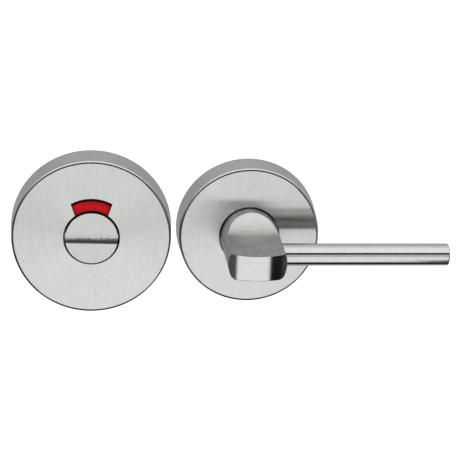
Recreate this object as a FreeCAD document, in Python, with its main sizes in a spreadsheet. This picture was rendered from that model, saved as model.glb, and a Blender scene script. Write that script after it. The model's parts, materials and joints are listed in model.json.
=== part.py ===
import FreeCAD
import Part

import math
import os
import re

import Sketcher

# Bathroom turn and release: two round roses side by side on one door face plane.
# Left, the outside release with its coin slot and red or white indicator.
# Right, the inside turn with its long lever rod. Millimetres, +X right, +Z up.
# The door face is the plane Y = 0 and the roses stand out of it towards -Y.
# A depth is a distance out of the door face, so depth d lies at Y = -d.
# The origin is the centre of the turn's spindle on the door face.

Vec = FreeCAD.Vector

# Driving dimensions
SIZES = [
    ("rose_gap", 1.7, "between the two roses as laid side by side"),
    ("release_drop", 0.4, "release axis below the turn's axis as laid side by side"),
    ("turn_rose_diameter", 53.0, "rose of the turn"),
    ("turn_rose_height", 11.3, "how far it stands out of the door"),
    ("release_rose_diameter", 59.4, "rose of the release"),
    ("release_rose_height", 12.4, "how far it stands out of the door"),
    ("cover_plate", 1.5, "front plate of both covers"),
    ("cover_wall", 1.2, "side wall of both covers"),
    ("cover_draft", 0.7, "how much the side wall leans in"),
    ("cover_edge_radius", 1.0, "rounding of the front rim"),
    ("cover_hole_edge", 0.15, "broken edge of the holes"),
    ("base_clearance", 0.05, "base plate inside its cover, radial"),
    ("base_thickness", 3.0, "base plate"),
    ("base_rim_height", 6.0, "rim that the cover snaps over"),
    ("base_rim_width", 1.4, "rim"),
    ("hub_diameter", 26.0, "boss that holds the bush"),
    ("screw_pitch", 38.0, "fixing holes, centre to centre"),
    ("screw_hole_diameter", 4.4, "fixing holes"),
    ("screw_countersink", 1.6, "countersink of the wood screw holes"),
    ("seat_depth", 0.2, "seats of the bolt and sleeve heads, sunk into the base plate"),
    ("seat_clearance", 0.5, "seats past the heads, radial, also where they reach the rim"),
    ("journal_diameter", 15.0, "shaft part that runs in the bush"),
    ("running_clearance", 0.05, "journal in its bush, radial"),
    ("axial_play", 0.06, "along the shaft"),
    ("bush_wall", 1.5, "bush"),
    ("bush_flange_width", 1.6, "bush flange past the wall"),
    ("bush_flange_thickness", 1.0, "bush flange"),
    ("journal_inset", 0.4, "shaft end under the door face plane"),
    ("circlip_inset", 0.65, "shaft end to the groove"),
    ("circlip_thickness", 1.2, "retaining ring"),
    ("circlip_groove", 1.3, "groove along the shaft"),
    ("circlip_groove_depth", 0.55, "groove, radial"),
    ("circlip_width", 2.0, "retaining ring, radial"),
    ("circlip_opening", 4.0, "gap between the lugs"),
    ("circlip_lug_radius", 1.5, "lugs"),
    ("circlip_lug_reach", 1.9, "lug centre past the groove floor"),
    ("circlip_eye_diameter", 1.4, "plier holes in the lugs"),
    ("washer_thickness", 0.8, "friction washer"),
    ("washer_width", 2.6, "friction washer, radial"),
    ("washer_clearance", 0.1, "friction washer on the journal"),
    ("recess_diameter", 24.0, "room for the washer and ring"),
    ("neck_diameter", 21.3, "round part of the turn body"),
    ("neck_gap", 0.45, "turn body in the cover's hole, radial"),
    ("neck_inset", 1.4, "shoulder of the body under the cover plate"),
    ("body_length", 31.9, "turn body in front of its rose"),
    ("body_taper", 0.3, "turn body narrower at its front than at the neck, radial"),
    ("front_bulge_radius", 20.0, "curved front, about an upright axis"),
    ("scoop_start", 4.4, "where both scoops start on the neck, in front of the rose"),
    ("scoop_bend", 9.3, "where both scoops bend, in front of the rose"),
    ("scoop_radius", 12.0, "inside rounding of the bend"),
    ("top_bend_height", 5.5, "upper scoop at its bend, above the axis"),
    ("top_front_height", 3.6, "upper scoop at the front, above the axis"),
    ("under_bend_height", 6.0, "lower scoop at its bend, below the axis"),
    ("under_front_height", 5.4, "lower scoop at the front, below the axis"),
    ("under_edge_radius", 2.5, "rounded edges beside the lower scoop"),
    ("rod_diameter", 8.0, "lever rod"),
    ("rod_depth", 19.5, "rod's axis in front of the rose"),
    ("rod_reach", 70.0, "rod end from the turning axis"),
    ("rod_end_radius", 0.6, "rounded rod end"),
    ("rod_clearance", 0.05, "rod in its bore"),
    ("rod_seat", 7.0, "bottom of the rod's bore from the axis"),
    ("spigot_diameter", 5.0, "screwed end of the rod"),
    ("spigot_length", 4.5, "screwed end of the rod"),
    ("spindle_width", 8.0, "square spindle"),
    ("spindle_clearance", 0.05, "spindle in the body, each side"),
    ("spindle_in_body", 5.5, "spindle end in front of the rose"),
    ("spindle_behind", 46.0, "spindle end behind the door face"),
    ("spindle_chamfer", 0.8, "spindle ends"),
    ("grub_diameter", 5.0, "grub screw on the spindle"),
    ("grub_clearance", 0.05, "grub screw in its hole, radial"),
    ("grub_depth", 3.2, "grub screw axis in front of the rose"),
    ("grub_length", 4.5, "grub screw"),
    ("grub_socket", 2.5, "hexagon socket across flats"),
    ("grub_socket_depth", 2.0, "hexagon socket"),
    ("button_diameter", 19.4, "release button"),
    ("button_gap", 0.5, "button in the cover's hole, radial"),
    ("button_proud", 0.8, "button past the rose's face"),
    ("button_edge", 0.2, "broken rim of the button"),
    ("slot_width", 3.9, "flat-bottomed coin slot"),
    ("slot_depth", 2.2, "coin slot"),
    ("slot_tilt", 1.0, "degrees, right end down"),
    ("drive_diameter", 17.5, "boss that drives the indicator disc"),
    ("drive_flats", 15.6, "boss across its flats"),
    ("drive_clearance", 0.05, "disc on the boss"),
    ("drive_gap", 0.1, "disc to the bush side shoulder"),
    ("socket_width", 8.2, "square socket of the release"),
    ("socket_web", 1.0, "metal between the socket and the slot"),
    ("window_radius", 15.0, "outer arc of the indicator window"),
    ("window_half_width", 7.55, "half the width of the window's top"),
    ("window_side_angle", 18.6, "degrees, lean of the window's sides"),
    ("window_foot", 8.0, "where the window runs into the hole"),
    ("indicator_gap", 0.3, "colour fields behind the cover plate"),
    ("indicator_margin", 1.2, "disc past the window"),
    ("disc_thickness", 1.0, "indicator disc"),
    ("field_thickness", 0.25, "colour fields"),
    ("field_half_angle", 44.0, "degrees"),
    ("field_margin", 0.1, "colour fields to the button"),
    ("field_inset", 1.55, "colour fields inside the window's outer arc"),
    ("bolt_diameter", 4.0, "through bolts"),
    ("bolt_neck_clearance", 0.1, "plain bolt neck in the base plate, radial"),
    ("bolt_length", 36.0, "through bolts under the head"),
    ("bolt_head_diameter", 7.6, "bolt heads"),
    ("bolt_head_height", 2.4, "bolt heads"),
    ("bolt_socket", 2.5, "hexagon socket across flats"),
    ("bolt_socket_depth", 1.5, "hexagon socket"),
    ("sleeve_diameter", 6.5, "sleeve nuts"),
    ("sleeve_bore", 3.3, "tapped hole of the sleeve nuts"),
    ("sleeve_length", 14.0, "sleeve nuts under the head"),
    ("sleeve_head_diameter", 9.0, "sleeve nut heads"),
    ("sleeve_head_height", 1.6, "sleeve nut heads"),
    ("sleeve_clearance", 0.05, "sleeve nuts in the base plate, radial"),
    ("cut_allowance", 10.0, "how far cutting shapes reach past the metal"),
]

doc = FreeCAD.newDocument("turn_and_release")
sheet = doc.addObject("Spreadsheet::Sheet", "dim")
for row, (alias, number, meaning) in enumerate(SIZES, start=1):
    sheet.set("A%d" % row, alias)
    sheet.set("B%d" % row, str(number))
    sheet.set("C%d" % row, meaning)
    sheet.setAlias("B%d" % row, alias)
doc.recompute()

nodes = []


# Helpers

def value(expression):
    """Number that an expression in the sheet's words gives."""
    return float(sheet.evalExpression(expression))


def bind(target, prop, expression):
    """Ties a property to an expression in the sheet's words."""
    target.setExpression(prop, re.sub(r"\b([a-z]+(?:_[a-z]+)+)\b", r"dim.\1", expression))


def new_body(label, side="turn"):
    """A body of its own, set on the axis of its rose."""
    body = doc.addObject("PartDesign::Body", label)
    body.Label = label
    body.AllowCompound = True
    bind(body, "Placement.Base.x", ROSES[side]["centre"])
    bind(body, "Placement.Base.z", ROSES[side]["level"])
    nodes.append(body)
    return body


def new_sketch(body, name, role, offset=None):
    """Sketch on one of the body's origin planes, or lifted along the plane's normal."""
    sketch = body.newObject("Sketcher::SketchObject", body.Name + "_" + name)
    plane = [item for item in body.Origin.OriginFeatures if item.Role == role][0]
    sketch.AttachmentSupport = [(plane, "")]
    sketch.MapMode = "FlatFace"
    if offset is not None:
        bind(sketch, "AttachmentOffset.Base.z", offset)
    return sketch


def fix_point(sketch, geometry, end, across, up):
    """Holds a point of the sketch at two expressions."""
    for kind, expression in (("DistanceX", across), ("DistanceY", up)):
        rule = Sketcher.Constraint(kind, -1, 1, geometry, end, value(expression))
        number = sketch.addConstraint(rule)
        bind(sketch, "Constraints[%d]" % number, expression)


def fix_radius(sketch, geometry, radius):
    """Holds the radius of a circle or arc at an expression."""
    number = sketch.addConstraint(Sketcher.Constraint("Radius", geometry, value(radius)))
    bind(sketch, "Constraints[%d]" % number, radius)


def add_line(sketch, start, finish):
    """Line between two points given as pairs of expressions."""
    ends = [Vec(value(across), value(up), 0) for across, up in (start, finish)]
    index = sketch.addGeometry(Part.LineSegment(*ends), False)
    fix_point(sketch, index, 1, *start)
    fix_point(sketch, index, 2, *finish)
    return index


def add_outline(sketch, corners):
    """Closed outline of straight edges through corners given as expressions."""
    points = [Vec(value(across), value(up), 0) for across, up in corners]
    count = len(points)
    first = sketch.GeometryCount
    for index in range(count):
        edge = Part.LineSegment(points[index], points[(index + 1) % count])
        sketch.addGeometry(edge, False)
    for index in range(count):
        following = first + (index + 1) % count
        sketch.addConstraint(Sketcher.Constraint("Coincident", first + index, 2, following, 1))
    for index, (across, up) in enumerate(corners):
        fix_point(sketch, first + index, 1, across, up)


def add_circle(sketch, across, up, radius):
    """Circle whose centre and radius are expressions."""
    circle = Part.Circle(Vec(value(across), value(up), 0), Vec(0, 0, 1), value(radius))
    index = sketch.addGeometry(circle, False)
    fix_point(sketch, index, 3, across, up)
    fix_radius(sketch, index, radius)


def add_arc(sketch, radius, start, finish):
    """Arc about the sketch's origin between two points, counter-clockwise."""
    first = Vec(value(start[0]), value(start[1]), 0)
    last = Vec(value(finish[0]), value(finish[1]), 0)
    middle = (first + last).normalize() * value(radius)
    index = sketch.addGeometry(Part.Arc(first, middle, last), False)
    fix_point(sketch, index, 1, *start)
    fix_point(sketch, index, 2, *finish)
    fix_radius(sketch, index, radius)


def add_bent_line(sketch, start, corner, finish, radius):
    """Two straight edges that would meet at a corner, joined by a tangent arc."""
    first, bend, last = [Vec(value(across), value(up), 0) for across, up in (start, corner, finish)]
    towards_first = (first - bend).normalize()
    towards_last = (last - bend).normalize()
    half_angle = towards_first.getAngle(towards_last) / 2
    size = value(radius)
    tangent_first = bend + towards_first * (size / math.tan(half_angle))
    tangent_last = bend + towards_last * (size / math.tan(half_angle))
    inwards = (towards_first + towards_last).normalize()
    middle = bend + inwards * (size / math.sin(half_angle) - size)
    ends = [tangent_first, tangent_last]
    clockwise = towards_first.cross(towards_last).z > 0
    if clockwise:
        ends.reverse()
    before = sketch.addGeometry(Part.LineSegment(first, tangent_first), False)
    arc = sketch.addGeometry(Part.Arc(ends[0], middle, ends[1]), False)
    after = sketch.addGeometry(Part.LineSegment(tangent_last, last), False)
    guide = sketch.addGeometry(Part.Point(bend), True)
    arc_ends = (2, 1) if clockwise else (1, 2)
    sketch.addConstraint(Sketcher.Constraint("Tangent", before, 2, arc, arc_ends[0]))
    sketch.addConstraint(Sketcher.Constraint("Tangent", arc, arc_ends[1], after, 1))
    fix_radius(sketch, arc, radius)
    fix_point(sketch, before, 1, *start)
    fix_point(sketch, after, 2, *finish)
    fix_point(sketch, guide, 1, *corner)
    for line in before, after:
        sketch.addConstraint(Sketcher.Constraint("PointOnObject", guide, 1, line))


def add_hexagon(sketch, across, up, flats):
    """Hexagon across flats about a point."""
    corner = "(%s) / sqrt(3)" % flats
    add_outline(sketch, [
        ("%s + %s * cos(%d)" % (across, corner, turn), "%s + %s * sin(%d)" % (up, corner, turn))
        for turn in range(0, 360, 60)])


def add_square(sketch, width):
    """Square about the sketch's origin."""
    half = "%s / 2" % width
    add_outline(sketch, [("-" + half, "-" + half), (half, "-" + half), (half, half), ("-" + half, half)])


def turned(body, name, corners):
    """Turned form about the rose's axis from corners given as (radius, depth)."""
    sketch = new_sketch(body, name + "_profile", "XY_Plane")
    add_outline(sketch, [(radius, "-(%s)" % depth) for radius, depth in corners])
    feature = body.newObject("PartDesign::Revolution", body.Name + "_" + name)
    feature.Profile = sketch
    feature.ReferenceAxis = (sketch, ["V_Axis"])
    feature.Angle = 360.0
    doc.recompute()
    return feature


def pad(body, name, sketch, length):
    """Pad along the normal of the sketch."""
    feature = body.newObject("PartDesign::Pad", body.Name + "_" + name)
    feature.Profile = sketch
    bind(feature, "Length", length)
    doc.recompute()
    return feature


def pocket(body, name, sketch, length=None, along_normal=False):
    """Pocket against the sketch's normal, or along it, or through all when no length is given."""
    before = body.Shape.Volume
    feature = body.newObject("PartDesign::Pocket", body.Name + "_" + name)
    feature.Profile = sketch
    if length is None:
        feature.Type = "ThroughAll"
        feature.SideType = "Symmetric"
    else:
        bind(feature, "Length", length)
        feature.Reversed = along_normal
    doc.recompute()
    if not body.Shape.Volume < before - 1e-3:
        raise RuntimeError(feature.Name + " cuts nothing")
    return feature


def dressed(body, kind, name, test, size):
    """Fillet or chamfer on the edges of the tip that pass the test."""
    tip = body.Tip
    edges = ["Edge%d" % (i + 1) for i, edge in enumerate(tip.Shape.Edges) if test(edge)]
    if not edges:
        raise RuntimeError(body.Label + " has no edge for " + name)
    feature = body.newObject("PartDesign::" + kind, body.Name + "_" + name)
    feature.Base = (tip, edges)
    bind(feature, "Radius" if kind == "Fillet" else "Size", size)
    doc.recompute()
    return feature


def ring_at(radius, depth):
    """Test for circles about the rose's axis with this radius and depth."""
    wanted = value(radius)
    place = -value(depth)

    def test(edge):
        curve = edge.Curve
        if not isinstance(curve, Part.Circle) or abs(curve.Axis.y) < 0.999:
            return False
        return abs(curve.Radius - wanted) < 1e-3 and abs(curve.Center.y - place) < 1e-3
    return test


# Depths and radii shared by pieces that meet

JOURNAL = "journal_diameter / 2"
NECK = "neck_diameter / 2"
BUTTON = "button_diameter / 2"
BUSH_BORE = "(journal_diameter / 2 + running_clearance)"
BUSH_OUTER = "(journal_diameter / 2 + running_clearance + bush_wall)"
GROOVE_RADIUS = "(journal_diameter / 2 - circlip_groove_depth)"
GROOVE_START = "(journal_inset + circlip_inset)"
GROOVE_END = "(journal_inset + circlip_inset + circlip_groove)"
HEAD_SEAT = "(base_thickness - seat_depth)"
RECESS_FLOOR = "(journal_inset + circlip_inset + circlip_groove + washer_thickness + axial_play)"

FIELD_FRONT = "(release_rose_height - cover_plate - indicator_gap)"
DISC_FRONT = "(%s - field_thickness)" % FIELD_FRONT
DISC_REAR = "(%s - disc_thickness)" % DISC_FRONT

ROSES = {
    "turn": {
        "centre": "0",
        "level": "0",
        "radius": "turn_rose_diameter / 2",
        "height": "turn_rose_height",
        "hole": "(neck_diameter / 2 + neck_gap)",
        "shoulder": "(turn_rose_height - cover_plate - neck_inset)",
    },
    "release": {
        "centre": "-(turn_rose_diameter / 2 + rose_gap + release_rose_diameter / 2)",
        "level": "-release_drop",
        "radius": "release_rose_diameter / 2",
        "height": "release_rose_height",
        "hole": "(button_diameter / 2 + button_gap)",
        "shoulder": "(%s - drive_gap)" % DISC_REAR,
    },
}
for rose in ROSES.values():
    rose["inside"] = "(%s - cover_draft - cover_wall)" % rose["radius"]
    rose["flange_front"] = "(%s - axial_play)" % rose["shoulder"]
    rose["hub_front"] = "(%s - bush_flange_thickness)" % rose["flange_front"]


def rose_cover(side):
    """Drawn cover: a leaning side wall, a flat front and a round hole."""
    rose = ROSES[side]
    body = new_body(side + "_rose_cover", side)
    front_radius = "(%s - cover_draft)" % rose["radius"]
    plate_back = "(%s - cover_plate)" % rose["height"]
    turned(body, "shell", [
        (rose["radius"], "0"),
        (front_radius, rose["height"]),
        (rose["hole"], rose["height"]),
        (rose["hole"], plate_back),
        (rose["inside"], plate_back),
        (rose["inside"], "0"),
    ])
    dressed(body, "Fillet", "rim", ring_at(front_radius, rose["height"]), "cover_edge_radius")
    return body


def break_hole_edge(body, side):
    """Broken front edge of the cover's round hole."""
    rose = ROSES[side]
    dressed(body, "Chamfer", "hole_edge", ring_at(rose["hole"], rose["height"]), "cover_hole_edge")


def base_plate(side, bolt_hole, head_radius):
    """Base plate with its snap rim, the hub for the bush, the fixing holes and the head seats."""
    rose = ROSES[side]
    body = new_body(side + "_base_plate", side)
    rim = "(%s - base_clearance)" % rose["inside"]
    rim_inside = "(%s - base_rim_width)" % rim
    turned(body, "plate", [
        ("recess_diameter / 2", "0"),
        (rim, "0"),
        (rim, "base_rim_height"),
        (rim_inside, "base_rim_height"),
        (rim_inside, "base_thickness"),
        ("hub_diameter / 2", "base_thickness"),
        ("hub_diameter / 2", rose["hub_front"]),
        (BUSH_OUTER, rose["hub_front"]),
        (BUSH_OUTER, RECESS_FLOOR),
        ("recess_diameter / 2", RECESS_FLOOR),
    ])
    holes = new_sketch(body, "bolt_hole_circles", "XZ_Plane", "base_thickness")
    for sign in "-", "":
        add_circle(holes, sign + "screw_pitch / 2", "0", bolt_hole)
    pocket(body, "bolt_holes", holes)
    seats = new_sketch(body, "head_seat_circles", "XZ_Plane", HEAD_SEAT)
    for sign in "-", "":
        add_circle(seats, sign + "screw_pitch / 2", "0", "%s + seat_clearance" % head_radius)
    pocket(body, "head_seats", seats, "base_rim_height", along_normal=True)
    screws = new_sketch(body, "screw_hole_circles", "XZ_Plane", "base_thickness")
    for sign in "-", "":
        add_circle(screws, "0", sign + "screw_pitch / 2", "screw_hole_diameter / 2")
    pocket(body, "screw_holes", screws)

    def screw_mouth(edge):
        curve = edge.Curve
        if not isinstance(curve, Part.Circle):
            return False
        on_front = abs(curve.Center.y + value("base_thickness")) < 1e-3
        return on_front and abs(abs(curve.Center.z) - value("screw_pitch / 2")) < 1e-3
    dressed(body, "Chamfer", "countersinks", screw_mouth, "screw_countersink")
    return body


def bush(side):
    """Flanged bearing bush, pressed into the hub from the front."""
    rose = ROSES[side]
    body = new_body(side + "_bush", side)
    flange = "(%s + bush_flange_width)" % BUSH_OUTER
    turned(body, "sleeve", [
        (BUSH_BORE, RECESS_FLOOR),
        (BUSH_OUTER, RECESS_FLOOR),
        (BUSH_OUTER, rose["hub_front"]),
        (flange, rose["hub_front"]),
        (flange, rose["flange_front"]),
        (BUSH_BORE, rose["flange_front"]),
    ])
    return body


def friction_washer(side):
    """Plain washer between the bush and the retaining ring."""
    body = new_body(side + "_friction_washer", side)
    bore = "(%s + washer_clearance)" % JOURNAL
    rings = new_sketch(body, "rings", "XZ_Plane", "%s - washer_thickness" % RECESS_FLOOR)
    add_circle(rings, "0", "0", bore)
    add_circle(rings, "0", "0", "%s + washer_width" % bore)
    pad(body, "ring", rings, "washer_thickness")
    return body


def circlip(side):
    """Retaining ring in the journal's groove, open at the bottom, with two plier lugs."""
    body = new_body(side + "_circlip", side)
    back = "%s + (circlip_groove - circlip_thickness) / 2" % GROOVE_START
    rings = new_sketch(body, "rings", "XZ_Plane", back)
    inner = "(%s + running_clearance)" % GROOVE_RADIUS
    add_circle(rings, "0", "0", inner)
    add_circle(rings, "0", "0", "%s + circlip_width" % inner)
    pad(body, "ring", rings, "circlip_thickness")
    gap = new_sketch(body, "gap_outline", "XZ_Plane", back)
    half = "circlip_opening / 2"
    low = "-(%s + circlip_width + cut_allowance)" % inner
    add_outline(gap, [("-" + half, low), (half, low), (half, "0"), ("-" + half, "0")])
    pocket(body, "gap", gap, "circlip_thickness", along_normal=True)
    aside = "(circlip_opening / 2 + circlip_lug_radius)"
    down = "-(%s + circlip_lug_reach)" % inner
    lugs = new_sketch(body, "lug_circles", "XZ_Plane", back)
    for sign in "-", "":
        add_circle(lugs, sign + aside, down, "circlip_lug_radius")
    pad(body, "lugs", lugs, "circlip_thickness")
    eyes = new_sketch(body, "eye_circles", "XZ_Plane", back)
    for sign in "-", "":
        add_circle(eyes, sign + aside, down, "circlip_eye_diameter / 2")
    pocket(body, "eyes", eyes, "circlip_thickness", along_normal=True)
    return body


def shaft_corners(side, front):
    """Corners of the journal with its groove, up to the shoulder and out to the front form."""
    return [
        ("0", "journal_inset"),
        (JOURNAL, "journal_inset"),
        (JOURNAL, GROOVE_START),
        (GROOVE_RADIUS, GROOVE_START),
        (GROOVE_RADIUS, GROOVE_END),
        (JOURNAL, GROOVE_END),
        (JOURNAL, ROSES[side]["shoulder"]),
    ] + front


def spindle_socket(body, width, end):
    """Square socket from the rear end of the shaft up to a depth."""
    sketch = new_sketch(body, "socket_square", "XZ_Plane", "journal_inset")
    add_square(sketch, width)
    pocket(body, "socket", sketch, "%s - journal_inset" % end, along_normal=True)


# Turn side

def scoop(body, name, sign, bend_height, front_height):
    """Cut that falls steeply from the neck, bends and runs out flat to the front."""
    front = "(turn_rose_height + body_length)"
    fall = "(%s - %s)" % (NECK, bend_height)
    steep = "(cut_allowance / %s)" % fall
    start = (
        "-(turn_rose_height + scoop_start - %s * (scoop_bend - scoop_start))" % steep,
        "%s(%s + cut_allowance)" % (sign, NECK))
    bend = "-(turn_rose_height + scoop_bend)", "%s%s" % (sign, bend_height)
    slope = "((%s - %s) / (body_length - scoop_bend))" % (bend_height, front_height)
    finish = (
        "-(%s + cut_allowance)" % front,
        "%s(%s - cut_allowance * %s)" % (sign, front_height, slope))
    outline = new_sketch(body, name + "_outline", "YZ_Plane")
    add_bent_line(outline, start, bend, finish, "scoop_radius")
    above = finish[0], start[1]
    add_line(outline, finish, above)
    add_line(outline, above, start)
    pocket(body, name, outline)


def turn_body():
    """Turn body: a round neck scooped above and below, with a bulged front."""
    body = new_body("turn_body")
    front = "(turn_rose_height + body_length)"
    turned(body, "blank", shaft_corners("turn", [
        (NECK, ROSES["turn"]["shoulder"]),
        (NECK, "turn_rose_height"),
        ("(%s - body_taper)" % NECK, front),
        ("0", front),
    ]))

    scoop(body, "upper_scoop", "", "top_bend_height", "top_front_height")
    scoop(body, "lower_scoop", "-", "under_bend_height", "under_front_height")

    bulge = new_sketch(body, "front_arc", "XY_Plane")
    centre = "-(%s - front_bulge_radius)" % front
    add_circle(bulge, "0", centre, "front_bulge_radius")
    add_circle(bulge, "0", centre, "front_bulge_radius + cut_allowance")
    pocket(body, "bulged_front", bulge)

    axis = "-(turn_rose_height + rod_depth)"
    seat = new_sketch(body, "rod_circle", "YZ_Plane", "rod_seat")
    add_circle(seat, axis, "0", "rod_diameter / 2 + rod_clearance")
    pocket(body, "rod_bore", seat, "%s + cut_allowance" % NECK, along_normal=True)
    tapped = new_sketch(body, "spigot_circle", "YZ_Plane", "rod_seat")
    add_circle(tapped, axis, "0", "spigot_diameter / 2 + rod_clearance")
    pocket(body, "spigot_bore", tapped, "spigot_length + rod_clearance")

    spindle_socket(body, "(spindle_width + 2 * spindle_clearance)",
                   "(turn_rose_height + spindle_in_body + spindle_clearance)")

    def beside_lower_scoop(edge):
        middle = edge.CenterOfMass
        low = -value(NECK) < middle.z < -value("under_front_height")
        forward = middle.y < -value("turn_rose_height + rod_depth / 2")
        return low and forward and abs(middle.x) > value(NECK) / 2
    dressed(body, "Fillet", "under_edges", beside_lower_scoop, "under_edge_radius")

    grub = new_sketch(body, "grub_circle", "XY_Plane")
    add_circle(grub, "0", "-(turn_rose_height + grub_depth)", "grub_diameter / 2")
    pocket(body, "grub_hole", grub, "%s + cut_allowance" % NECK)
    return body


def lever_rod():
    """Plain round rod with a screwed spigot that seats in the turn body."""
    body = new_body("lever_rod")
    axis = "-(turn_rose_height + rod_depth)"
    inner_end = "(rod_seat + rod_clearance)"
    bar = new_sketch(body, "bar_circle", "YZ_Plane", inner_end)
    add_circle(bar, axis, "0", "rod_diameter / 2")
    pad(body, "bar", bar, "rod_reach - %s" % inner_end)

    def far_end(edge):
        return abs(edge.CenterOfMass.x - value("rod_reach")) < 1e-3
    dressed(body, "Fillet", "end_round", far_end, "rod_end_radius")
    spigot = new_sketch(body, "spigot_circle", "YZ_Plane", "%s - spigot_length" % inner_end)
    add_circle(spigot, axis, "0", "spigot_diameter / 2")
    pad(body, "spigot", spigot, "spigot_length")
    return body


def spindle():
    """Square spindle from the turn body through the door."""
    body = new_body("spindle")
    square = new_sketch(body, "square", "XZ_Plane", "-spindle_behind")
    add_square(square, "spindle_width")
    length = "spindle_behind + turn_rose_height + spindle_in_body"
    pad(body, "bar", square, length)

    def ends(edge):
        middle = edge.CenterOfMass.y
        rear = abs(middle - value("spindle_behind")) < 1e-3
        return rear or abs(middle + value("turn_rose_height + spindle_in_body")) < 1e-3
    dressed(body, "Chamfer", "end_chamfers", ends, "spindle_chamfer")
    return body


def spindle_grub_screw():
    """Grub screw from below that holds the spindle in the turn body."""
    body = new_body("spindle_grub_screw")
    low = "-(spindle_width / 2 + grub_length)"
    axis = "-(turn_rose_height + grub_depth)"
    round_end = new_sketch(body, "circle", "XY_Plane", low)
    add_circle(round_end, "0", axis, "grub_diameter / 2 - grub_clearance")
    pad(body, "bar", round_end, "grub_length")
    drive = new_sketch(body, "hexagon", "XY_Plane", low)
    add_hexagon(drive, "0", axis, "grub_socket")
    pocket(body, "socket", drive, "grub_socket_depth", along_normal=True)
    return body


def turn_through_bolts():
    """Two bolts with a plain neck in the base plate, which clamp the door between the roses."""
    body = new_body("turn_through_bolts")
    shanks = new_sketch(body, "shank_circles", "XZ_Plane", "%s - bolt_length" % HEAD_SEAT)
    necks = new_sketch(body, "neck_circles", "XZ_Plane")
    heads = new_sketch(body, "head_circles", "XZ_Plane", HEAD_SEAT)
    drives = new_sketch(body, "hexagons", "XZ_Plane", "%s + bolt_head_height" % HEAD_SEAT)
    for sign in "-", "":
        place = sign + "screw_pitch / 2"
        add_circle(shanks, place, "0", "bolt_diameter / 2")
        add_circle(necks, place, "0", "screw_hole_diameter / 2 - bolt_neck_clearance")
        add_circle(heads, place, "0", "bolt_head_diameter / 2")
        add_hexagon(drives, place, "0", "bolt_socket")
    pad(body, "shanks", shanks, "bolt_length - %s" % HEAD_SEAT)
    pad(body, "necks", necks, HEAD_SEAT)
    pad(body, "heads", heads, "bolt_head_height")
    pocket(body, "sockets", drives, "bolt_socket_depth")
    return body


# Release side

def release_cover():
    """Cover of the release, with the indicator window that opens into the button's hole."""
    body = rose_cover("release")
    window = new_sketch(body, "window_outline", "XZ_Plane", "release_rose_height")
    top = "sqrt(window_radius ^ 2 - window_half_width ^ 2)"
    foot = "(window_half_width - (%s - window_foot) * tan(window_side_angle))" % top
    corners = [
        ("window_half_width", top),
        ("-window_half_width", top),
        ("-" + foot, "window_foot"),
        (foot, "window_foot"),
    ]
    add_arc(window, "window_radius", corners[0], corners[1])
    add_line(window, corners[1], corners[2])
    add_line(window, corners[2], corners[3])
    add_line(window, corners[3], corners[0])
    pocket(body, "window", window, "cover_plate")
    break_hole_edge(body, "release")
    return body


def release_button():
    """Release button with its coin slot, disc drive, journal and square socket."""
    body = new_body("release_button", "release")
    front = "(release_rose_height + button_proud)"
    turned(body, "blank", shaft_corners("release", [
        ("drive_diameter / 2", ROSES["release"]["shoulder"]),
        ("drive_diameter / 2", DISC_FRONT),
        (BUTTON, DISC_FRONT),
        (BUTTON, front),
        ("0", front),
    ]))
    dressed(body, "Chamfer", "rim", ring_at(BUTTON, front), "button_edge")

    slot = new_sketch(body, "slot_section", "YZ_Plane")
    slot.AttachmentOffset = FreeCAD.Placement(Vec(0, 0, 0), FreeCAD.Rotation(Vec(1, 0, 0), 1))
    bind(slot, "AttachmentOffset.Rotation.Angle", "slot_tilt")
    floor = "-(%s - slot_depth)" % front
    outside = "-(%s + cut_allowance)" % front
    half = "slot_width / 2"
    add_outline(slot, [(outside, "-" + half), (floor, "-" + half), (floor, half), (outside, half)])
    pocket(body, "coin_slot", slot)

    flats = new_sketch(body, "flat_outlines", "XZ_Plane", ROSES["release"]["shoulder"])
    for sign in "-", "":
        near = sign + "drive_flats / 2"
        far = sign + "(drive_flats / 2 + cut_allowance)"
        add_outline(flats, [(near, "-" + BUTTON), (far, "-" + BUTTON), (far, BUTTON), (near, BUTTON)])
    pocket(body, "flats", flats, "%s - %s" % (DISC_FRONT, ROSES["release"]["shoulder"]),
           along_normal=True)

    spindle_socket(body, "socket_width", "(%s - slot_depth - socket_web)" % front)
    return body


def indicator_disc():
    """Disc behind the window, driven by the flats of the button."""
    body = new_body("indicator_disc", "release")
    rim = new_sketch(body, "rim_circle", "XZ_Plane", DISC_REAR)
    add_circle(rim, "0", "0", "window_radius + indicator_margin")
    pad(body, "disc", rim, "disc_thickness")
    bore = new_sketch(body, "bore_circle", "XZ_Plane", DISC_REAR)
    add_circle(bore, "0", "0", "drive_diameter / 2 + drive_clearance")
    pocket(body, "bore", bore, "disc_thickness", along_normal=True)
    # two chords keep the disc on the flats
    chords = new_sketch(body, "chord_outlines", "XZ_Plane", DISC_REAR)
    reach = "(drive_diameter / 2 + drive_clearance)"
    near = "(drive_flats / 2 + drive_clearance)"
    half = "sqrt(%s ^ 2 - %s ^ 2)" % (reach, near)
    for sign in "-", "":
        add_outline(chords, [
            (sign + near, "-" + half),
            (sign + "(drive_diameter / 2 + indicator_margin)", "-" + half),
            (sign + "(drive_diameter / 2 + indicator_margin)", half),
            (sign + near, half),
        ])
    pad(body, "chords", chords, "disc_thickness")
    return body


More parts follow.
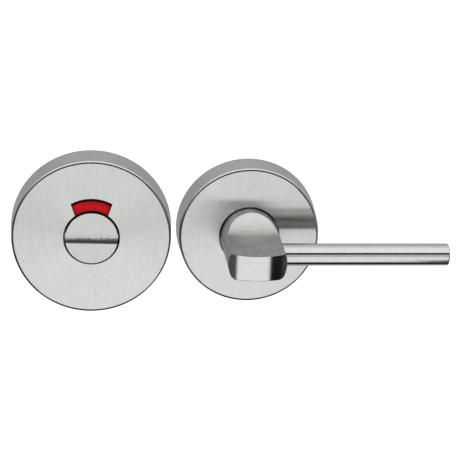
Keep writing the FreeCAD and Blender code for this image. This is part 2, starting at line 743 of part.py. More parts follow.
def indicator_field(name, middle):
    """Colour field on the disc, an arc about a middle angle in degrees."""
    body = new_body(name, "release")
    sketch = new_sketch(body, "outline", "XZ_Plane", DISC_FRONT)
    inner = "(%s + field_margin)" % BUTTON
    outer = "(window_radius - field_inset)"

    def corner(radius, sign):
        angle = "(%d %s field_half_angle)" % (middle, sign)
        return "%s * cos(%s)" % (radius, angle), "%s * sin(%s)" % (radius, angle)
    add_arc(sketch, outer, corner(outer, "-"), corner(outer, "+"))
    add_line(sketch, corner(outer, "+"), corner(inner, "+"))
    add_arc(sketch, inner, corner(inner, "-"), corner(inner, "+"))
    add_line(sketch, corner(inner, "-"), corner(outer, "-"))
    pad(body, "field", sketch, "field_thickness")
    return body


def release_sleeve_nuts():
    """Two tapped sleeves that take the through bolts."""
    body = new_body("release_sleeve_nuts", "release")
    sleeves = new_sketch(body, "sleeve_circles", "XZ_Plane", "%s - sleeve_length" % HEAD_SEAT)
    heads = new_sketch(body, "head_circles", "XZ_Plane", HEAD_SEAT)
    for sign in "-", "":
        place = sign + "screw_pitch / 2"
        for sketch, outer in ((sleeves, "sleeve_diameter / 2"), (heads, "sleeve_head_diameter / 2")):
            add_circle(sketch, place, "0", outer)
            add_circle(sketch, place, "0", "sleeve_bore / 2")
    pad(body, "sleeves", sleeves, "sleeve_length")
    pad(body, "heads", heads, "sleeve_head_height")
    return body


# Assembly

turn_cover = rose_cover("turn")
break_hole_edge(turn_cover, "turn")
base_plate("turn", "screw_hole_diameter / 2", "bolt_head_diameter / 2")
bush("turn")
turn_body()
lever_rod()
spindle()
spindle_grub_screw()
friction_washer("turn")
circlip("turn")
turn_through_bolts()

release_cover()
base_plate("release", "sleeve_diameter / 2 + sleeve_clearance", "sleeve_head_diameter / 2")
bush("release")
release_button()
indicator_disc()
indicator_field("indicator_red_field", 90)
indicator_field("indicator_white_field", 180)
friction_washer("release")
circlip("release")
release_sleeve_nuts()

doc.recompute()

# Checks, then one file for each piece
for item in doc.Objects:
    if {"Invalid", "Error"} & set(item.State):
        raise RuntimeError("%s failed: %s" % (item.Name, item.State))
for body in nodes:
    shape = body.Shape
    if shape.isNull() or not shape.isValid() or not shape.Solids:
        raise RuntimeError(body.Label + " has no valid solid")

os.makedirs("parts", exist_ok=True)
for body in nodes:
    body.Shape.exportStep(os.path.join("parts", body.Label + ".step"))
    box = body.Shape.optimalBoundingBox(False)
    print("%-24s solids %d volume %9.1f  X %.2f..%.2f  Y %.2f..%.2f  Z %.2f..%.2f" % (
        body.Label, len(body.Shape.Solids), body.Shape.Volume,
        box.XMin, box.XMax, box.YMin, box.YMax, box.ZMin, box.ZMax))
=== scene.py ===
import json
import math

import bpy
from mathutils import Matrix, Vector


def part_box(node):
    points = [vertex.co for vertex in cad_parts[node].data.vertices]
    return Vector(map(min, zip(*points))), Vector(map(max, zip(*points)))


# Bathroom turn and release in satin stainless steel: its finishes, a white studio and the camera.
# Metres, +X to the right along the lever rod, +Z up and -Y out of the door face towards the user.

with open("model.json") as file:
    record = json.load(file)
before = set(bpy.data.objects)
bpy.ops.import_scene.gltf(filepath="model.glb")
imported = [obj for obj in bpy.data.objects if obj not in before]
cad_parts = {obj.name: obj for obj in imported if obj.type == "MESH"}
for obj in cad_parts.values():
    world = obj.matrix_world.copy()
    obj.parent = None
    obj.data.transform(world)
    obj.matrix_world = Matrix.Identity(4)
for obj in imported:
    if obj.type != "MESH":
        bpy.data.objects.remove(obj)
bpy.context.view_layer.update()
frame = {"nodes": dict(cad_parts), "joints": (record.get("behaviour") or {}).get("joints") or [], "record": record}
nodes = frame["nodes"]

X, Y, Z = (1, 0, 0), (0, 1, 0), (0, 0, 1)

RELEASE_AXIS = next(joint["pos_m"] for joint in frame["joints"] if joint["name"] == "release_pivot")
BUTTON_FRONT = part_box("release_button")[0].y
BODY_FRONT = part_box("turn_body")[0].y


# Shader nodes

# Noise values mostly lie between these two
NOISE_LOW, NOISE_HIGH = 0.3, 0.7


def new_material(name, kind="ShaderNodeBsdfPrincipled"):
    """A material with one shader: the material, its node tree and the shader."""
    material = bpy.data.materials.new(name)
    material.use_nodes = True
    tree = material.node_tree
    tree.nodes.clear()
    output = tree.nodes.new("ShaderNodeOutputMaterial")
    shader = tree.nodes.new(kind)
    tree.links.new(shader.outputs[0], output.inputs["Surface"])
    return material, tree, shader


def feed(tree, socket, value):
    """Gives a socket a number, or links it to another node's output."""
    if isinstance(value, (int, float)):
        socket.default_value = value
    else:
        tree.links.new(value, socket)


def combined(tree, operation, first, second):
    result = tree.nodes.new("ShaderNodeMath")
    result.operation = operation
    feed(tree, result.inputs[0], first)
    feed(tree, result.inputs[1], second)
    return result.outputs["Value"]


def product(tree, *values):
    total = values[0]
    for value in values[1:]:
        total = combined(tree, "MULTIPLY", total, value)
    return total


def added(tree, first, second):
    return combined(tree, "ADD", first, second)


def mixed(tree, factor, first, second):
    """Goes from the first value to the second while the factor goes from 0 to 1."""
    choice = tree.nodes.new("ShaderNodeMix")
    choice.data_type = "FLOAT"
    feed(tree, choice.inputs["Factor"], factor)
    feed(tree, choice.inputs[2], first)
    feed(tree, choice.inputs[3], second)
    return choice.outputs[0]


def ramp_between(tree, value, start, end, low=0.0, high=1.0, step="SMOOTHSTEP"):
    """Goes from low to high while the value goes from start to end, and no further."""
    ramp = tree.nodes.new("ShaderNodeMapRange")
    ramp.interpolation_type = step
    ramp.inputs["From Min"].default_value = start
    ramp.inputs["From Max"].default_value = end
    ramp.inputs["To Min"].default_value = low
    ramp.inputs["To Max"].default_value = high
    tree.links.new(value, ramp.inputs["Value"])
    return ramp.outputs["Result"]


def scaled(tree, share, low, high):
    """Goes evenly from low to high while the share goes from 0 to 1."""
    return ramp_between(tree, share, 0.0, 1.0, low, high, "LINEAR")


def changed(tree, share, level):
    """Goes smoothly from 1 to a level while the share goes from 0 to 1."""
    return ramp_between(tree, share, 0.0, 1.0, 1.0, level)


def spread(tree, noise, low, high):
    """Goes evenly from low to high over the middle of a noise."""
    return ramp_between(tree, noise, NOISE_LOW, NOISE_HIGH, low, high, "LINEAR")


def grey_ramp(tree, value, stops):
    """Grey levels at given places of a value from 0 to 1."""
    ramp = tree.nodes.new("ShaderNodeValToRGB")
    marks = ramp.color_ramp.elements
    marks[0].position, marks[1].position = stops[0][0], stops[-1][0]
    for place, _ in stops[1:-1]:
        marks.new(place)
    for mark, (_, shade) in zip(marks, stops):
        mark.color = (shade, shade, shade, 1.0)
    tree.links.new(value, ramp.inputs["Fac"])
    return ramp.outputs["Color"]


def coordinate(tree, kind, axis):
    """Place along an axis: Object in metres, or Generated from 0 to 1 across the piece's own box."""
    place = tree.nodes.new("ShaderNodeTexCoord")
    parts = tree.nodes.new("ShaderNodeSeparateXYZ")
    tree.links.new(place.outputs[kind], parts.inputs["Vector"])
    return parts.outputs[axis]


def axis_distance(tree, kind, centre):
    """Distance from the line along Y that runs through a point."""
    place = tree.nodes.new("ShaderNodeTexCoord")
    offset = tree.nodes.new("ShaderNodeVectorMath")
    offset.operation = "MULTIPLY_ADD"
    offset.inputs[1].default_value = (1.0, 0.0, 1.0)
    offset.inputs[2].default_value = (-centre[0], 0.0, -centre[2])
    tree.links.new(place.outputs[kind], offset.inputs[0])
    length = tree.nodes.new("ShaderNodeVectorMath")
    length.operation = "LENGTH"
    tree.links.new(offset.outputs["Vector"], length.inputs[0])
    return length.outputs["Value"]


def radius_in_box(tree):
    """Distance from the middle of the piece's own box, 0.5 at the rim of a round piece."""
    return axis_distance(tree, "Generated", (0.5, 0.5, 0.5))


def object_direction(tree, direction):
    """A direction that turns with the piece."""
    vector = tree.nodes.new("ShaderNodeCombineXYZ")
    for socket, amount in zip(vector.inputs, direction):
        socket.default_value = amount
    turn = tree.nodes.new("ShaderNodeVectorTransform")
    turn.vector_type = "VECTOR"
    turn.convert_from = "OBJECT"
    turn.convert_to = "WORLD"
    tree.links.new(vector.outputs["Vector"], turn.inputs["Vector"])
    return turn.outputs["Vector"]


def normal_with(tree, operation, direction):
    """A vector operation on the surface's normal and a direction that turns with the piece."""
    result = tree.nodes.new("ShaderNodeVectorMath")
    result.operation = operation
    tree.links.new(tree.nodes.new("ShaderNodeNewGeometry").outputs["Normal"], result.inputs[0])
    tree.links.new(object_direction(tree, direction), result.inputs[1])
    return result


def looking_along(tree, direction):
    """1 where the surface looks along a direction, -1 where it looks the other way, 0 across it."""
    return normal_with(tree, "DOT_PRODUCT", direction).outputs["Value"]


def facing_amount(tree, direction):
    """1 where the surface looks along a direction either way, 0 across it."""
    size = tree.nodes.new("ShaderNodeMath")
    size.operation = "ABSOLUTE"
    tree.links.new(looking_along(tree, direction), size.inputs[0])
    return size.outputs["Value"]


def stretched_noise(tree, stretch, detail=2.0):
    """Noise with the given cycles per metre along X, Y and Z."""
    place = tree.nodes.new("ShaderNodeTexCoord")
    mapping = tree.nodes.new("ShaderNodeMapping")
    mapping.inputs["Scale"].default_value = stretch
    noise = tree.nodes.new("ShaderNodeTexNoise")
    noise.inputs["Scale"].default_value = 1.0
    noise.inputs["Detail"].default_value = detail
    tree.links.new(place.outputs["Object"], mapping.inputs["Vector"])
    tree.links.new(mapping.outputs["Vector"], noise.inputs["Vector"])
    return noise.outputs["Fac"]


def shaded(tree, color, amount):
    """A colour times an amount, which may be over 1."""
    result = tree.nodes.new("ShaderNodeVectorMath")
    result.operation = "SCALE"
    tree.links.new(color, result.inputs[0])
    tree.links.new(amount, result.inputs["Scale"])
    return result.outputs["Vector"]


def varied_color(tree, noise, color, share):
    """A colour that gets darker and lighter by a share, as a noise goes."""
    choice = tree.nodes.new("ShaderNodeMix")
    choice.data_type = "RGBA"
    choice.inputs[6].default_value = (*(channel * (1 - share) for channel in color), 1.0)
    choice.inputs[7].default_value = (*(channel * (1 + share) for channel in color), 1.0)
    tree.links.new(spread(tree, noise, 0.0, 1.0), choice.inputs["Factor"])
    return choice.outputs[2]


def add_bump(tree, shader, height, strength, distance):
    bump = tree.nodes.new("ShaderNodeBump")
    bump.inputs["Strength"].default_value = strength
    bump.inputs["Distance"].default_value = distance
    tree.links.new(height, bump.inputs["Height"])
    tree.links.new(bump.outputs["Normal"], shader.inputs["Normal"])


# Marks: painted light and shade, levels that darken or brighten a finish in places

# Gain of a cover's painted light and shade, and the painted levels of its side wall and its face before the gain
COVER_GAIN = 1.48
WALL_LEVEL, FACE_LEVEL = 0.81, 0.71

# Heights and radii in the cover's own box between which its marks change
FOOT_HEIGHTS = (0.03, 0.20)
TOP_HEIGHTS = (0.70, 0.92)
RIM_RADII = (0.36, 0.40)

# Painted shade on the holes' walls: levels where they look down or sideways and where they look up
PAINTED_HOLE_SHADE_LEVELS = (0.08, 0.9)

# Painted reflected light and shade on the rim, from the side wall, 0, over the rounded rim to the face, 1
PAINTED_RIM_AT_TOP = ((0.20, WALL_LEVEL), (0.30, 1.0), (0.70, 1.0), (0.80, 0.08), (0.975, 0.08),
              (0.992, FACE_LEVEL))
PAINTED_RIM_AT_SIDES = ((0.20, WALL_LEVEL), (0.45, 0.65), (0.80, 0.36), (0.975, 0.36), (0.992, FACE_LEVEL))
PAINTED_RIM_AT_FOOT = ((0.10, WALL_LEVEL), (0.30, 0.02), (0.80, 0.02), (0.992, 0.03), (0.998, FACE_LEVEL))

# Painted sheen of a face, from straight below its middle, 0, round to straight above it, 1
PAINTED_FACE_SHEEN = ((0.0, 1.0), (0.20, 1.0), (0.45, 0.93), (0.62, 0.84), (0.75, 0.86), (0.92, 0.94),
              (1.0, 0.92))


def cover_painted_light(tree):
    """Painted light and shade of a round cover.

    Its rounded rim has a painted dark reflection line beside the face, darkest at the foot, and at the top a
    painted highlight outside it. The walls of the holes in the face have painted shade where they don't look
    up. The painted sheen of the upright grain fans out from the middle.
    """
    amount = facing_amount(tree, Y)
    height = coordinate(tree, "Generated", "Z")
    radius = radius_in_box(tree)

    # Painted reflections along the rim: a dark line, and a highlight at the top
    at_top = grey_ramp(tree, amount, PAINTED_RIM_AT_TOP)
    at_sides = grey_ramp(tree, amount, PAINTED_RIM_AT_SIDES)
    at_foot = grey_ramp(tree, amount, PAINTED_RIM_AT_FOOT)
    lower = mixed(tree, ramp_between(tree, height, *FOOT_HEIGHTS), at_foot, at_sides)
    rim = mixed(tree, ramp_between(tree, height, *TOP_HEIGHTS), lower, at_top)

    # Painted shade on the holes' walls
    painted_hole_shade = ramp_between(tree, looking_along(tree, Z), 0.2, 0.65, *PAINTED_HOLE_SHADE_LEVELS)
    inner = mixed(tree, ramp_between(tree, amount, start=0.3, end=0.9), painted_hole_shade, FACE_LEVEL)
    level = mixed(tree, ramp_between(tree, radius, *RIM_RADII), inner, rim)

    # Painted sheen, brighter and darker round the face's middle
    steepness = combined(tree, "DIVIDE", scaled(tree, height, -0.5, 0.5), radius)
    sheen = grey_ramp(tree, ramp_between(tree, steepness, -1.0, 1.0, step="LINEAR"), PAINTED_FACE_SHEEN)
    return scaled(tree, product(tree, level, sheen), 0.0, COVER_GAIN)


# Painted shade in the coin slot starts just above the slot's floor, fades from its foot to its top, and has an
# uneven edge
PAINTED_SLOT_SHADE_DEPTHS = (BUTTON_FRONT + 0.0017, BUTTON_FRONT + 0.0021)
PAINTED_SLOT_SHADE_FOOT, PAINTED_SLOT_SHADE_TOP = -0.0018, -0.0003
PAINTED_SLOT_SHADE_SHARE = 0.66
PAINTED_SLOT_SHADE_CYCLES = (700.0, 700.0, 1400.0)
PAINTED_SLOT_SHADE_UNEVENNESS = 0.0004

# Heights and radii in the button's own box between which painted shade on its wall starts
WALL_HEIGHTS = (0.05, 0.40)
WALL_RADII = (0.495, 0.499)
PAINTED_WALL_SHADE_LEVEL = 0.08


def button_painted_shade(tree):
    """Painted shade along the lower side of the coin slot's floor, and on the wall except at its foot."""
    # Painted shade where the slot's walls would shade its floor
    on_floor = ramp_between(tree, coordinate(tree, "Object", "Y"), *PAINTED_SLOT_SHADE_DEPTHS)
    noise = stretched_noise(tree, PAINTED_SLOT_SHADE_CYCLES, detail=3.0)
    uneven = spread(tree, noise, -PAINTED_SLOT_SHADE_UNEVENNESS, PAINTED_SLOT_SHADE_UNEVENNESS)
    height = added(tree, coordinate(tree, "Object", "Z"), uneven)
    painted_slot_shade = product(tree, on_floor, ramp_between(tree, height, PAINTED_SLOT_SHADE_FOOT, PAINTED_SLOT_SHADE_TOP, PAINTED_SLOT_SHADE_SHARE, 0.0))

    # Painted shade on the wall, which stands in the shadow of the hole round the button
    upper = ramp_between(tree, coordinate(tree, "Generated", "Z"), *WALL_HEIGHTS)
    wall = product(tree, upper, ramp_between(tree, radius_in_box(tree), *WALL_RADII))
    return product(tree, changed(tree, painted_slot_shade, 0.0), changed(tree, wall, PAINTED_WALL_SHADE_LEVEL))


# Radii between which the painted shade behind the gap round the button ends, and the painted shadow towards the
# window's outer arc grows
PAINTED_GAP_SHADE_RADII = (0.0102, 0.0104)
SHADE_RADII = (0.0113, 0.0134)

# Places beside the release's axis where the window's lit sides start and end
LEFT_SIDE = (RELEASE_AXIS[0] - 0.006, RELEASE_AXIS[0] - 0.001)
RIGHT_SIDE = (RELEASE_AXIS[0] + 0.002, RELEASE_AXIS[0] + 0.007)


def field_painted_light(gap_level, edge_level, lit_sides):
    """Painted light and shade of a colour field.

    It has gap_level, a painted shade, behind the gap round the button, and goes down to edge_level, a painted
    shadow, towards the window's outer arc. By the share lit_sides it stays brightly painted at the window's
    left, and by half that at the right.
    """
    def marks(tree):
        radius = axis_distance(tree, "Object", RELEASE_AXIS)
        across = coordinate(tree, "Object", "X")
        # Painted light on the window's sides, painted shadow under its outer arc and painted shade behind the gap
        left = ramp_between(tree, across, *LEFT_SIDE, lit_sides, 0.0)
        right = ramp_between(tree, across, *RIGHT_SIDE, 0.0, 0.5 * lit_sides)
        shade = ramp_between(tree, radius, *SHADE_RADII, 1.0, edge_level, "LINEAR")
        outer = mixed(tree, added(tree, left, right), shade, 1.0)
        return product(tree, outer, ramp_between(tree, radius, *PAINTED_GAP_SHADE_RADII, gap_level, 1.0))
    return marks


# Depths between which the turn's front ends, and how far it reaches right of the axis
FRONT_DEPTHS = (BODY_FRONT + 0.0032, BODY_FRONT + 0.0052)
FRONT_RIGHT = 0.010

# Heights between which the painted shade line along the front's lower edge ends, and its share
PAINTED_FOOT_SHADE_HEIGHTS = (-0.0054, -0.0050)
PAINTED_FOOT_SHADE_SHARE = 0.6

# Levels of the painted shade on the sides and of the painted highlight on the neck's upper left
PAINTED_SIDE_SHADE_LEVEL = 0.68
PAINTED_NECK_HIGHLIGHT_LEVEL = 1.6

# Painted reflection on the turn's front, a dark band, from its axis, 0, to its right side, 1
PAINTED_FRONT_REFLECTION = ((0.0, 1.0), (0.35, 1.0), (0.50, 0.42), (0.75, 0.50), (0.92, 0.85), (1.0, 0.90))


def body_painted_light(tree):
    """Painted light and shade of the turn body.

    Its front has a painted shade line along the lower edge and a painted dark reflection band at the right, its
    sides have painted shade, and its round neck has a painted highlight at the upper left.
    """
    # Painted shade along the front's lower edge
    on_front = ramp_between(tree, coordinate(tree, "Object", "Y"), *FRONT_DEPTHS, 1.0, 0.0)
    low = ramp_between(tree, coordinate(tree, "Object", "Z"), *PAINTED_FOOT_SHADE_HEIGHTS, PAINTED_FOOT_SHADE_SHARE, 0.0)
    painted_foot_shade = changed(tree, product(tree, on_front, low), 0.0)
    # Painted shade on the sides
    sides = ramp_between(tree, facing_amount(tree, X), start=0.55, end=0.85, low=1.0, high=PAINTED_SIDE_SHADE_LEVEL)

    # Painted highlight on the neck's upper left
    on_neck = ramp_between(tree, facing_amount(tree, Y), start=0.02, end=0.05, low=1.0, high=0.0)
    upwards = ramp_between(tree, looking_along(tree, Z), start=0.1, end=0.7)
    leftwards = ramp_between(tree, looking_along(tree, X), start=-0.1, end=0.5, low=1.0, high=0.0)
    neck = changed(tree, product(tree, on_neck, upwards, leftwards), PAINTED_NECK_HIGHLIGHT_LEVEL)

    # Painted dark reflection band on the front's right
    place = ramp_between(tree, coordinate(tree, "Object", "X"), 0.0, FRONT_RIGHT, step="LINEAR")
    upright = ramp_between(tree, facing_amount(tree, Z), start=0.25, end=0.5, low=1.0, high=0.0)
    band = mixed(tree, product(tree, on_front, upright), 1.0, grey_ramp(tree, place, PAINTED_FRONT_REFLECTION))
    return product(tree, painted_foot_shade, sides, neck, band)


# Gain of the rod's painted reflection, and its level from where it looks down, 0, to where it looks up, 1, before
# the gain
ROD_GAIN = 1.2
PAINTED_ROD_REFLECTION = ((0.0, 0.82), (0.15, 0.82), (0.18, 0.36), (0.26, 0.36), (0.29, 0.83), (0.75, 0.81),
             (0.80, 0.85), (0.86, 0.95), (0.925, 0.98), (0.94, 0.78), (1.0, 0.82))


def rod_painted_reflection(tree):
    """Painted reflection: a crisp edge to a painted sheen on the rod's upper half and a dark line along its lower
    half.
    """
    upwards = ramp_between(tree, looking_along(tree, Z), -1.0, 1.0, step="LINEAR")
    return scaled(tree, grey_ramp(tree, upwards, PAINTED_ROD_REFLECTION), 0.0, ROD_GAIN)


# Finishes

# How far a surface has to look along a direction to count as a face: a flat face, and a curved one
FLAT_FACE_LIMIT, CURVED_FACE_LIMIT = 0.985, 0.8

# Grain: a quarter of it is broader, with fewer cycles, and it changes the roughness by a share
BROAD_SHARE = 0.25
BROAD_CYCLES = 0.28
GRAIN_ROUGHNESS = 0.07
GRAIN_HEIGHT = 0.00005

# Smudges of handling, which change the roughness by an amount
SMUDGE_CYCLES = (55.0, 55.0, 70.0)
SMUDGE_ROUGHNESS = 0.018

# Skin of moulded and lacquered pieces: shares of the colour and the roughness, and its relief
SKIN_CYCLES = (900.0, 900.0, 900.0)
SKIN_SHADE = 0.06
SKIN_ROUGHNESS = 0.1
SKIN_RELIEF = 0.1
SKIN_HEIGHT = 0.00002
COAT_ROUGHNESS = 0.08


def glint_direction(tree, facing, on_face, elsewhere):
    """Direction in which a highlight is drawn out: on_face on faces that look along facing.

    On other surfaces it is elsewhere, or without that it runs round the axis that the faces look along.
    """
    is_face = combined(tree, "GREATER_THAN", facing_amount(tree, facing),
                       CURVED_FACE_LIMIT if elsewhere else FLAT_FACE_LIMIT)
    if elsewhere:
        other = object_direction(tree, elsewhere)
    else:
        other = normal_with(tree, "CROSS_PRODUCT", facing).outputs["Vector"]
    choice = tree.nodes.new("ShaderNodeMix")
    choice.data_type = "VECTOR"
    tree.links.new(is_face, choice.inputs["Factor"])
    tree.links.new(other, choice.inputs[4])
    tree.links.new(object_direction(tree, on_face), choice.inputs[5])
    return choice.outputs[1]


def brushed_steel(name, color, roughness, grain, glint=None, anisotropy=0.0,
                  streak=0.05, relief=0.06, cloud=0.02, marks=None):
    """Satin steel: fine drawn-out grain in colour, roughness and relief, and soft smudges of handling.

    Streak and cloud are the shares by which grain and smudges change the colour.
    """
    material, tree, shader = new_material(name)
    fine = stretched_noise(tree, grain)
    broad = stretched_noise(tree, tuple(BROAD_CYCLES * cycles for cycles in grain))
    streaks = mixed(tree, BROAD_SHARE, fine, broad)
    smudge = stretched_noise(tree, SMUDGE_CYCLES, detail=3.0)

    base = varied_color(tree, streaks, color, streak)
    base = shaded(tree, base, spread(tree, smudge, 1.0 - cloud, 1.0 + cloud))
    # Marks paint light and shade into the colour and into the tint of its reflection
    if marks:
        level = marks(tree)
        base = shaded(tree, base, level)
        tree.links.new(scaled(tree, level, 0.0, 1.0), shader.inputs["Specular Tint"])
    tree.links.new(base, shader.inputs["Base Color"])

    grained = spread(tree, streaks, roughness * (1 - GRAIN_ROUGHNESS), roughness * (1 + GRAIN_ROUGHNESS))
    handled = spread(tree, smudge, -SMUDGE_ROUGHNESS, SMUDGE_ROUGHNESS)
    tree.links.new(added(tree, grained, handled), shader.inputs["Roughness"])
    add_bump(tree, shader, streaks, relief, GRAIN_HEIGHT)

    shader.inputs["Metallic"].default_value = 1.0
    if glint:
        shader.inputs["Anisotropic"].default_value = anisotropy
        tree.links.new(glint_direction(tree, *glint), shader.inputs["Tangent"])
    return material


def moulded(name, color, roughness, coat=0.0, specular=0.5, marks=None):
    """Plastic or lacquer with a fine uneven skin."""
    material, tree, shader = new_material(name)
    skin = stretched_noise(tree, SKIN_CYCLES, detail=3.0)
    base = varied_color(tree, skin, color, SKIN_SHADE)
    # Marks paint light and shade into the colour
    if marks:
        base = shaded(tree, base, marks(tree))
    tree.links.new(base, shader.inputs["Base Color"])
    uneven = spread(tree, skin, roughness * (1 - SKIN_ROUGHNESS), roughness * (1 + SKIN_ROUGHNESS))
    tree.links.new(uneven, shader.inputs["Roughness"])
    add_bump(tree, shader, skin, SKIN_RELIEF, SKIN_HEIGHT)
    shader.inputs["Specular IOR Level"].default_value = specular
    shader.inputs["Coat Weight"].default_value = coat
    shader.inputs["Coat Roughness"].default_value = COAT_ROUGHNESS
    return material


STEEL = (0.55, 0.55, 0.537)
BODY_STEEL = (0.59, 0.59, 0.575)

# Grain is in cycles per metre, so it runs along the axis with the fewest. A glint is the direction in
# which the faces look, and the highlight's direction on them and elsewhere.
# Marks paint light and shade into a finish
STEEL_FINISHES = {
    "rose_steel": dict(color=STEEL, roughness=0.21, grain=(2700, 200, 480), glint=(Y, X, None),
                       anisotropy=1.0, streak=0.085, relief=0.08, cloud=0.045, marks=cover_painted_light),
    "turn_steel": dict(color=BODY_STEEL, roughness=0.22, grain=(500, 500, 2700), glint=(Y, Z, Y),
                       anisotropy=0.9, streak=0.10, relief=0.08, marks=body_painted_light),
    "rod_steel": dict(color=STEEL, roughness=0.11, grain=(2700, 600, 600), glint=(X, Z, X),
                      anisotropy=0.9, streak=0.09, relief=0.03, marks=rod_painted_reflection),
    "button_steel": dict(color=STEEL, roughness=0.28, grain=(400, 500, 2700), glint=(Y, Z, Y),
                         anisotropy=0.9, streak=0.07, marks=button_painted_shade),
    "base_steel": dict(color=(0.55, 0.56, 0.57), roughness=0.36, grain=(400, 400, 400)),
    "spindle_steel": dict(color=(0.50, 0.50, 0.50), roughness=0.30, grain=(2000, 80, 2000)),
    "screw_steel": dict(color=(0.22, 0.22, 0.23), roughness=0.35, grain=(1500, 1500, 1500)),
    "spring_steel": dict(color=(0.18, 0.18, 0.19), roughness=0.35, grain=(1500, 1500, 1500)),
    "zinc_steel": dict(color=(0.66, 0.67, 0.68), roughness=0.28, grain=(700, 700, 700)),
}

MOULDED_FINISHES = {
    "bush_nylon": dict(color=(0.10, 0.10, 0.11), roughness=0.50),
    "washer_white": dict(color=(0.80, 0.80, 0.78), roughness=0.45),
    "disc_black": dict(color=(0.006, 0.006, 0.006), roughness=0.7, specular=0.1),
    # The colour fields carry painted shadow under the window's arc and painted shade behind the gap
    "signal_red": dict(color=(1.0, 0.004, 0.009), roughness=0.60, specular=0.25,
                       marks=field_painted_light(gap_level=1.0, edge_level=0.40, lit_sides=0.9)),
    "signal_white": dict(color=(0.93, 0.93, 0.92), roughness=0.32, coat=0.4,
                         marks=field_painted_light(gap_level=0.03, edge_level=1.0, lit_sides=0.0)),
}

materials = {name: brushed_steel(name, **finish) for name, finish in STEEL_FINISHES.items()}
materials.update((name, moulded(name, **finish)) for name, finish in MOULDED_FINISHES.items())

for subpart in frame["record"]["subparts"]:
    mesh = nodes[subpart["node"]].data
    mesh.materials.clear()
    mesh.materials.append(materials[subpart["material_slot"]])


# Floor, cards and light

WHITE = (1.0, 1.0, 1.0, 1.0)

FLOOR_LEVEL = -0.30
FLOOR_HALF_SIZE = 4.0
FLOOR_GLOW = 0.6

# The cards stand round the object and lie between it and the floor
LEFT, RIGHT = -0.36, 0.40
FRONT, BACK = -0.75, 0.55
CARD_FOOT, CARD_TOP = -0.29, 0.12
LYING_LEVEL = -0.28


def strip(half_width, first_edge, second_edge):
    """Corners of a rectangle along X between two edges, each given by its Y and Z."""
    return [(-half_width, *first_edge), (half_width, *first_edge),
            (half_width, *second_edge), (-half_width, *second_edge)]


def upright_side(x, front, back):
    """Corners of a rectangle that stands at the left or right."""
    return [(x, front, CARD_FOOT), (x, back, CARD_FOOT), (x, back, CARD_TOP), (x, front, CARD_TOP)]


def lying_side(inner_x, inner_front, outer_x, outer_front, back):
    """Corners of a lying card that widens from its inner to its outer side."""
    return [(inner_x, inner_front, LYING_LEVEL), (outer_x, outer_front, LYING_LEVEL),
            (outer_x, back, LYING_LEVEL), (inner_x, back, LYING_LEVEL)]


def plane(name, corners, material):
    mesh = bpy.data.meshes.new(name)
    mesh.from_pydata(corners, [], [tuple(range(len(corners)))])
    mesh.materials.append(material)
    piece = bpy.data.objects.new(name, mesh)
    bpy.context.scene.collection.objects.link(piece)
    return piece


def seen_rays(tree, *kinds):
    """1 for camera rays and for rays of the given kinds."""
    path = tree.nodes.new("ShaderNodeLightPath")
    total = path.outputs["Is Camera Ray"]
    for kind in kinds:
        total = combined(tree, "MAXIMUM", total, path.outputs[kind])
    return total


def floor_material():
    """Matt white, and brighter in reflections."""
    material, tree, shader = new_material("floor_white")
    shader.inputs["Base Color"].default_value = (0.85, 0.85, 0.85, 1.0)
    shader.inputs["Roughness"].default_value = 0.9
    shader.inputs["Specular IOR Level"].default_value = 0.0
    shader.inputs["Emission Color"].default_value = WHITE
    glow = product(tree, seen_rays(tree, "Is Glossy Ray", "Is Transmission Ray"), FLOOR_GLOW)
    tree.links.new(glow, shader.inputs["Emission Strength"])
    material.cycles.emission_sampling = "NONE"
    return material


def card(name, level, corners, shading=None):
    """A grey or black studio card, seen only in reflections.

    Shading is an axis and shares of the level along it, each with its place from 0 to 1.
    """
    material, tree, shader = new_material(name, "ShaderNodeEmission")
    shader.inputs["Color"].default_value = (level, level, level, 1.0)
    material.cycles.emission_sampling = "NONE"
    if shading:
        axis, stops = shading
        shade = grey_ramp(tree, coordinate(tree, "Generated", axis), stops)
        tree.links.new(shade, shader.inputs["Strength"])
    piece = plane(name, corners, material)
    piece.visible_camera = False
    piece.visible_shadow = False
    piece.visible_diffuse = False


plane("floor", strip(FLOOR_HALF_SIZE, (-FLOOR_HALF_SIZE, FLOOR_LEVEL), (FLOOR_HALF_SIZE, FLOOR_LEVEL)),
      floor_material())

card("left_card", 0.085, upright_side(LEFT, -0.50, 0.10))
card("right_card", 0.15, upright_side(RIGHT, -0.69, -0.15),
     ("Y", ((0.0, 0.20), (0.30, 0.01), (0.62, 0.02), (0.85, 0.50), (1.0, 0.7))))
card("camera_card", 0.02, strip(0.60, (FRONT, 0.24), (FRONT, 0.52)))
card("left_floor_card", 0.085, lying_side(-0.17, -0.26, LEFT, -0.50, -0.10))
card("right_floor_card", 0.012, lying_side(0.14, -0.27, RIGHT, -0.69, -0.15))
card("low_card", 0.01, strip(0.40, (-0.118, -0.20), (-0.010, -0.20)))
card("behind_floor_card", 0.45, strip(0.90, (0.012, LYING_LEVEL), (BACK, LYING_LEVEL)))
card("behind_card", 0.42, strip(0.90, (BACK, LYING_LEVEL), (BACK, 0.06)))
card("upper_card", 1.3, strip(0.60, (FRONT, 0.53), (-0.38, 0.80)))
card("back_card", 1.05, strip(1.20, (0.95, 0.10), (0.15, 1.00)), ("Z", ((0.0, 0.333), (1.0, 1.0))))

WORLD_LIGHT, WORLD_WHITE = 0.75, 1.0

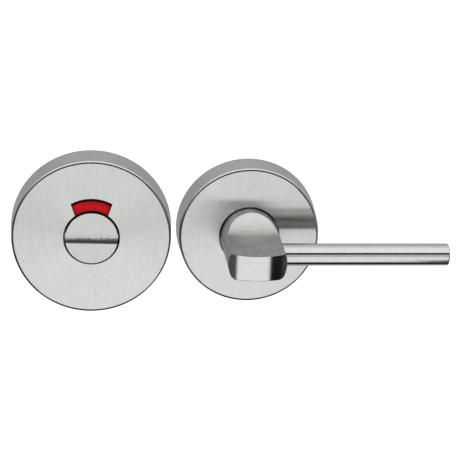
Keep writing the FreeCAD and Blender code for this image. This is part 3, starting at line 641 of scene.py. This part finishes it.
world = bpy.data.worlds.new("studio")
world.use_nodes = True
world.cycles.sampling_method = "NONE"
world_tree = world.node_tree
world_tree.nodes.clear()
world_output = world_tree.nodes.new("ShaderNodeOutputWorld")
background = world_tree.nodes.new("ShaderNodeBackground")
background.inputs["Color"].default_value = WHITE
strength = scaled(world_tree, seen_rays(world_tree, "Is Transmission Ray"), WORLD_LIGHT, WORLD_WHITE)
world_tree.links.new(strength, background.inputs["Strength"])
world_tree.links.new(background.outputs["Background"], world_output.inputs["Surface"])
bpy.context.scene.world = world

LAMP_WIDTH, LAMP_DEPTH = 1.6, 0.56
LAMP_RADIANCE = 0.35
LAMP_PLACE = (-0.02, -0.20, 0.90)

# The lamp hangs level over the object and shines straight down
lamp_data = bpy.data.lights.new("overhead_lamp", "AREA")
lamp_data.shape = "RECTANGLE"
lamp_data.size = LAMP_WIDTH
lamp_data.size_y = LAMP_DEPTH
lamp_data.energy = LAMP_RADIANCE * math.pi * LAMP_WIDTH * LAMP_DEPTH
lamp = bpy.data.objects.new("overhead_lamp", lamp_data)
lamp.location = LAMP_PLACE
lamp.visible_camera = False
bpy.context.scene.collection.objects.link(lamp)


# Camera

SENSOR_WIDTH = 36.0
IMAGE_SIZE = 460
FOCAL_PIXELS = 1392.2
CAMERA_PLACE = (-0.05764, -0.49211, 0.17149)
PITCH_DOWN, YAW_RIGHT, ROLL = 0.33650, 0.1045, 0.0360
NEAR_LIMIT = 0.01

forward = Vector((math.sin(YAW_RIGHT) * math.cos(PITCH_DOWN),
                  math.cos(YAW_RIGHT) * math.cos(PITCH_DOWN),
                  -math.sin(PITCH_DOWN)))
level_right = Vector((math.cos(YAW_RIGHT), -math.sin(YAW_RIGHT), 0.0))
level_up = level_right.cross(forward)
right = level_right * math.cos(ROLL) + level_up * math.sin(ROLL)
up = level_up * math.cos(ROLL) - level_right * math.sin(ROLL)

camera_data = bpy.data.cameras.new("camera")
camera_data.sensor_width = SENSOR_WIDTH
camera_data.lens = FOCAL_PIXELS / IMAGE_SIZE * SENSOR_WIDTH
camera_data.clip_start = NEAR_LIMIT
camera = bpy.data.objects.new("camera", camera_data)
camera.matrix_world = Matrix((right, up, -forward)).transposed().to_4x4()
camera.location = CAMERA_PLACE
bpy.context.scene.collection.objects.link(camera)
bpy.context.scene.camera = camera

bpy.context.scene.view_settings.view_transform = "Standard"
